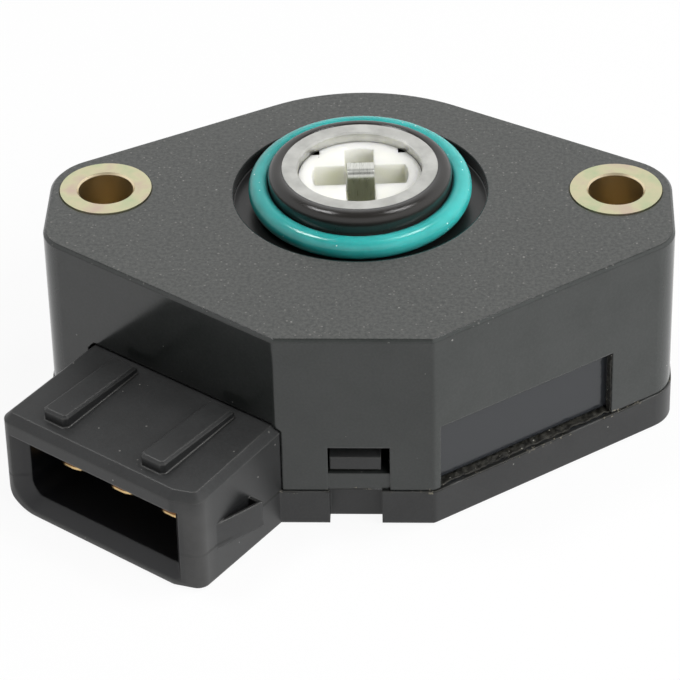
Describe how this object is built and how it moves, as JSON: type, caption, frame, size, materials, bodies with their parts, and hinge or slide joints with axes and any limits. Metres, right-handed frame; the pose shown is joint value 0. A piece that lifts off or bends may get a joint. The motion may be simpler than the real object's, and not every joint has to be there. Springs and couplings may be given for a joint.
{
  "type": "throttle position sensor",
  "caption": "Black throttle position sensor with a turning drive socket in a sealed collar, metal-lined mounting holes and a slanted plug connector with blade terminals.",
  "frame": {"origin": "on the rotor's axis, midway between the mounting holes, in the plane of the mounting face", "axes": "+X through the right mounting hole, +Y away from the connector side, +Z out of the mounting face along the rotor's axis"},
  "size_m": [0.0513, 0.0433, 0.0194],
  "materials": {
    "cover_plastic": "satin moulded, slightly dusty",
    "base_plastic": "satin moulded",
    "plated_steel": "yellow passivated zinc plating",
    "ring_rubber": "smooth teal rubber",
    "bush_metal": "turned, light grey",
    "rotor_plastic": "smooth off-white",
    "spring_steel": "bright strip",
    "contact_metal": "bright strip",
    "board": "matte laminate",
    "terminal_metal": "bright plated",
    "rivet_metal": "plain"
  },
  "bodies": {
    "housing": {"cover": "cover_plastic", "base": "base_plastic", "bushing_left": "plated_steel", "bushing_right": "plated_steel", "sealing_ring": "ring_rubber", "bearing_bush": "bush_metal", "track_board": "board", "terminal_1": "terminal_metal", "terminal_2": "terminal_metal", "terminal_3": "terminal_metal", "board_rivets": "rivet_metal"},
    "rotor": {"rotor": "rotor_plastic", "drive_clip": "spring_steel", "wiper": "contact_metal"}
  },
  "joints": [
    {"name": "rotor_turn", "type": "hinge", "parent": "housing", "child": "rotor", "pos_m": [0, 0, 0], "axis": [0, 0, 1], "range_deg": [-3.4, 91.6]}
  ]
}
